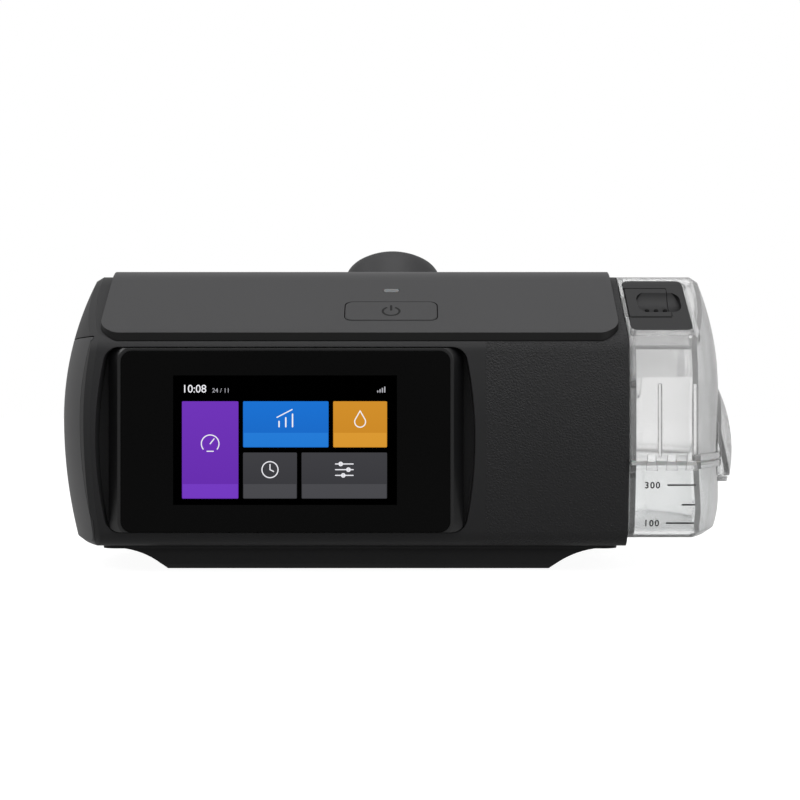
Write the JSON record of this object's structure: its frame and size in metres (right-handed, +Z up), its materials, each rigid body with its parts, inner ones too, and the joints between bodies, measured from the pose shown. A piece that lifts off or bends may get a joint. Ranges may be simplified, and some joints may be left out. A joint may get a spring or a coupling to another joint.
{
  "type": "cpap machine",
  "caption": "Barrel-sided bedside breathing machine with a touch display, a clear humidifier chamber on its right end and a swivelling hose elbow.",
  "frame": {"origin": "bottom centre of the whole object, between the feet", "axes": "+X to the humidifier chamber, -Y the way the display faces, +Z up"},
  "size_m": [0.283, 0.1862, 0.1357],
  "materials": {
    "main_housing": "fine leather grain, charcoal",
    "top_cover": "satin grey",
    "power_button": "satin dark grey",
    "button_switch": "circuit board green",
    "light_pipe": "translucent white",
    "display_glass": "black gloss",
    "display_bezel": "gloss charcoal",
    "display_module": "black",
    "main_board": "circuit board green",
    "base_tray": "charcoal, fine texture",
    "rubber_feet": "soft black",
    "base_screws": "zinc plated",
    "filter_cover": "satin grey",
    "filter_frame": "charcoal",
    "air_filter": "white non-woven pad",
    "intake_muffler": "natural white",
    "muffler_foam": "open-cell foam",
    "blower_mount": "silicone",
    "motor_plate": "machined",
    "motor_stator": "laminations and copper winding",
    "motor_rotor": "turned steel",
    "impeller": "natural white",
    "blower_casing": "natural white",
    "blower_lid": "natural white",
    "supply_duct": "silicone hose",
    "return_duct": "silicone hose",
    "elbow_seat": "charcoal",
    "outlet_elbow": "satin charcoal",
    "elbow_seal": "black ring",
    "power_socket": "black",
    "card_reader": "black",
    "card_flap": "fine leather grain, charcoal",
    "docking_frame": "charcoal",
    "frame_screws": "zinc plated",
    "port_gaskets": "silicone",
    "heater_plate": "brushed",
    "heater_element": "copper track on film",
    "water_tub": "clear plastic",
    "tub_heat_plate": "stainless",
    "tub_seal": "silicone",
    "chamber_lid": "clear plastic",
    "lid_hinge_pin": "stainless",
    "air_guide": "clear plastic",
    "latch_plate": "satin black",
    "latch_tongue": "satin black"
  },
  "bodies": {
    "housing": {"main_housing": "main_housing", "top_cover": "top_cover", "button_switch": "button_switch", "light_pipe": "light_pipe", "display_glass": "display_glass", "display_bezel": "display_bezel", "display_module": "display_module", "main_board": "main_board", "base_tray": "base_tray", "rubber_feet": "rubber_feet", "base_screws": "base_screws", "filter_frame": "filter_frame", "air_filter": "air_filter", "intake_muffler": "intake_muffler", "muffler_foam": "muffler_foam", "blower_mount": "blower_mount", "motor_plate": "motor_plate", "motor_stator": "motor_stator", "blower_casing": "blower_casing", "blower_lid": "blower_lid", "supply_duct": "supply_duct", "return_duct": "return_duct", "elbow_seat": "elbow_seat", "power_socket": "power_socket", "card_reader": "card_reader", "docking_frame": "docking_frame", "frame_screws": "frame_screws", "port_gaskets": "port_gaskets", "heater_plate": "heater_plate", "heater_element": "heater_element"},
    "button": {"power_button": "power_button"},
    "side_cover": {"filter_cover": "filter_cover"},
    "elbow": {"outlet_elbow": "outlet_elbow", "elbow_seal": "elbow_seal"},
    "rotor": {"motor_rotor": "motor_rotor", "impeller": "impeller"},
    "flap": {"card_flap": "card_flap"},
    "tub": {"water_tub": "water_tub", "tub_heat_plate": "tub_heat_plate", "tub_seal": "tub_seal", "lid_hinge_pin": "lid_hinge_pin"},
    "lid": {"chamber_lid": "chamber_lid", "air_guide": "air_guide", "latch_plate": "latch_plate"},
    "tongue": {"latch_tongue": "latch_tongue"}
  },
  "joints": [
    {"name": "power_button_press", "type": "slide", "parent": "housing", "child": "button", "axis": [0, 0.5417, -0.8406], "range_m": [0, 0.0008], "stiffness_N_per_m": 1500, "springref_m": -0.0004},
    {"name": "filter_cover_pull", "type": "slide", "parent": "housing", "child": "side_cover", "axis": [-1, 0, 0], "range_m": [0, 0.035]},
    {"name": "elbow_swivel", "type": "hinge", "parent": "housing", "child": "elbow", "pos_m": [-0.0034, 0.04265, 0.10595], "axis": [0, 0.5417, 0.8406], "continuous": true},
    {"name": "impeller_spin", "type": "hinge", "parent": "housing", "child": "rotor", "pos_m": [-0.04, -0.0073, 0.0384], "axis": [0, 0, 1], "continuous": true},
    {"name": "card_flap_hinge", "type": "hinge", "parent": "housing", "child": "flap", "pos_m": [-0.052, 0.06745, 0.0513], "axis": [-1, 0, 0], "range_deg": [0, 90]},
    {"name": "chamber_slide", "type": "slide", "parent": "housing", "child": "tub", "axis": [1, 0, 0], "range_m": [0, 0.1]},
    {"name": "lid_hinge", "type": "hinge", "parent": "tub", "child": "lid", "pos_m": [0.102, 0.0717, 0.0437], "axis": [-1, 0, 0], "range_deg": [0, 100]},
    {"name": "latch_press", "type": "hinge", "parent": "lid", "child": "tongue", "pos_m": [0.1058, -0.06203, 0.10327], "axis": [0, -0.8406, -0.5417], "range_deg": [0, 4.5], "stiffness_Nm_per_rad": 1.2, "springref_deg": -1.72}
  ]
}
